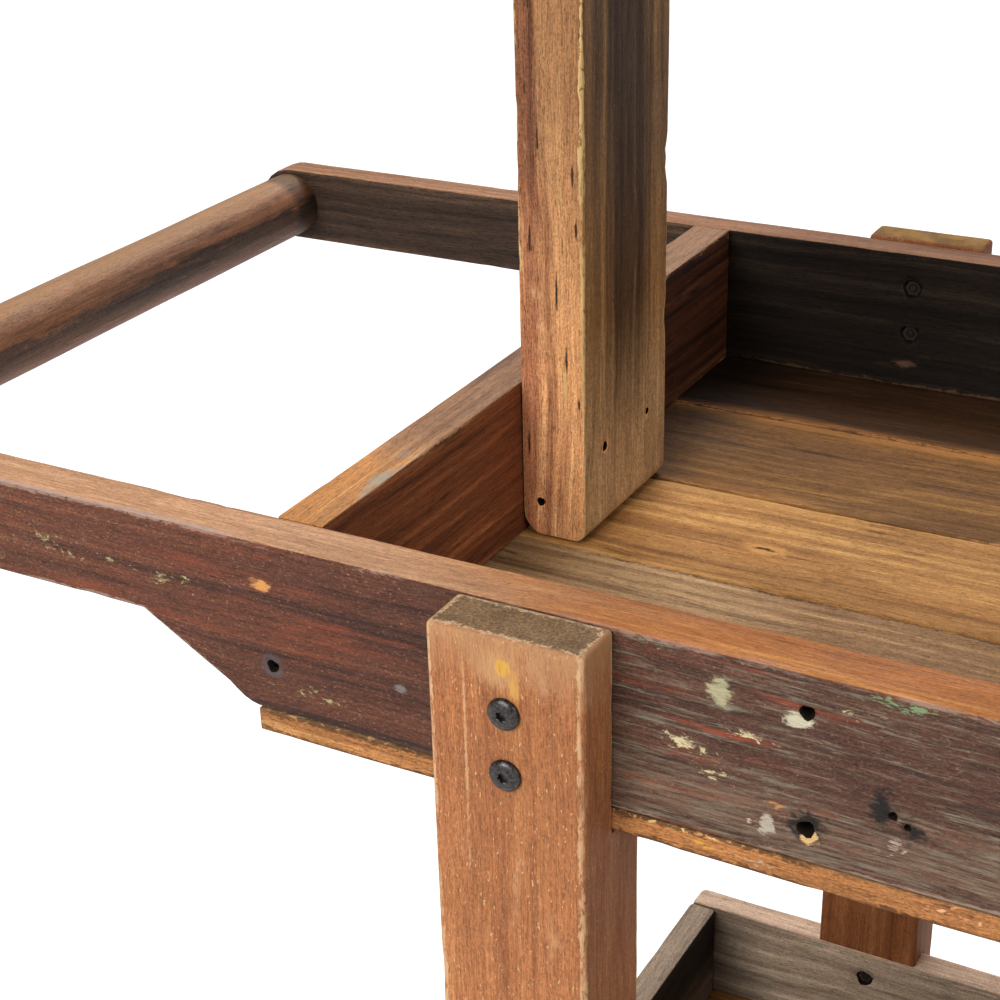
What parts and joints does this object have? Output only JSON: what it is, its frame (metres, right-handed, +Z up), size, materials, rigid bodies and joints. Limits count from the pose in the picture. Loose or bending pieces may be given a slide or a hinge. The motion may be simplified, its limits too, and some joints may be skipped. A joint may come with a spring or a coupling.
{
  "type": "potting bench",
  "caption": "Barrow-style potting bench in reclaimed wood: deep tray with a bar handle at one end, lower tray, wheels at the other end, and a plank shelf on centre posts.",
  "frame": {"origin": "on the ground below the middle of the bench's length and width", "axes": "+X from the handle bar towards the wheels, +Y from front to back, +Z up"},
  "size_m": [1.4959, 0.789, 1.56],
  "materials": {
    "weathered_wood": "dark reddish-brown reclaimed hardwood with worn paint residue, satin wax",
    "warm_wood": "sanded orange-brown hardwood, satin wax",
    "golden_wood": "golden-brown planed hardwood, satin wax",
    "grey_wood": "grey-brown weathered hardwood, dull wax",
    "black_iron": "forged iron, blackened, a little rust",
    "black_steel": "black oxide bolt steel, satin",
    "zinc_steel": "dull zinc-plated screw steel"
  },
  "bodies": {
    "frame": {"front_rail": "weathered_wood", "back_rail": "weathered_wood", "left_end_board": "weathered_wood", "right_end_board": "weathered_wood", "floor_board_1": "golden_wood", "floor_board_2": "golden_wood", "floor_board_3": "golden_wood", "floor_board_4": "golden_wood", "tray_batten": "warm_wood", "handle_bar": "warm_wood", "left_front_leg": "warm_wood", "left_back_leg": "warm_wood", "right_front_leg": "warm_wood", "right_back_leg": "warm_wood", "lower_front_side": "grey_wood", "lower_back_side": "grey_wood", "lower_left_end": "grey_wood", "lower_right_end": "grey_wood", "lower_floor_board_1": "golden_wood", "lower_floor_board_2": "golden_wood", "lower_floor_board_3": "golden_wood", "lower_floor_board_4": "golden_wood", "lower_batten": "warm_wood", "left_post": "golden_wood", "right_post": "golden_wood", "left_bearer": "warm_wood", "right_bearer": "warm_wood", "shelf_beam": "warm_wood", "left_brace": "warm_wood", "right_brace": "warm_wood", "shelf_plank_1": "grey_wood", "shelf_plank_2": "grey_wood", "shelf_plank_3": "grey_wood", "axle": "black_iron", "front_spacer": "black_iron", "back_spacer": "black_iron", "axle_washers": "zinc_steel", "split_pins": "zinc_steel", "leg_bolts": "black_steel", "leg_nuts": "black_steel", "corner_screws": "zinc_steel", "floor_screws": "zinc_steel", "post_screws": "zinc_steel", "shelf_screws": "zinc_steel", "brace_screws": "zinc_steel"},
    "front_wheel": {"front_wheel_lower_board": "weathered_wood", "front_wheel_middle_board": "weathered_wood", "front_wheel_upper_board": "weathered_wood", "front_wheel_battens": "warm_wood", "front_tyre": "black_iron", "front_bush": "black_iron", "front_wheel_screws": "zinc_steel"},
    "back_wheel": {"back_wheel_lower_board": "weathered_wood", "back_wheel_middle_board": "weathered_wood", "back_wheel_upper_board": "weathered_wood", "back_wheel_battens": "warm_wood", "back_tyre": "black_iron", "back_bush": "black_iron", "back_wheel_screws": "zinc_steel"}
  },
  "joints": [
    {"name": "front_wheel_spin", "type": "hinge", "parent": "frame", "child": "front_wheel", "pos_m": [0.5805, -0.3585, 0.12], "axis": [0, 1, 0], "continuous": true},
    {"name": "back_wheel_spin", "type": "hinge", "parent": "frame", "child": "back_wheel", "pos_m": [0.5805, 0.3585, 0.12], "axis": [0, 1, 0], "continuous": true}
  ]
}
